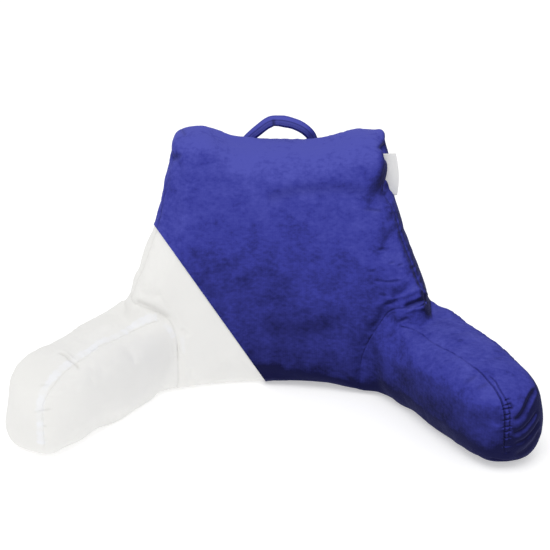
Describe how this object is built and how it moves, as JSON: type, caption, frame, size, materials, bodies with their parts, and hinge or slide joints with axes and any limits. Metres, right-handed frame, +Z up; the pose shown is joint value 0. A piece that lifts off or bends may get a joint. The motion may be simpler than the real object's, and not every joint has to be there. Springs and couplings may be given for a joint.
{
  "type": "reading pillow with arms",
  "caption": "Filled back cushion with two filled arms, a carry strap and a side tab, its pile cover cut away to show the white casing.",
  "frame": {"origin": "on the ground, at the middle of the footprint's box", "axes": "+X to the viewer's right along the pillow's width, -Y towards the viewer and the open end of the arms, +Z up"},
  "size_m": [0.9015, 0.4445, 0.4589],
  "materials": {
    "cover_pile": "short-pile velour in royal blue, soft and matt with a bright nap",
    "casing_cloth": "plain-woven white casing cloth, matt",
    "tab_tape": "smooth woven tape, faintly glossy, blank"
  },
  "bodies": {
    "root": {"covered_back": "cover_pile", "bare_back": "casing_cloth", "covered_arm": "cover_pile", "bare_arm": "casing_cloth", "carry_handle": "cover_pile", "side_label": "tab_tape"}
  },
  "joints": []
}
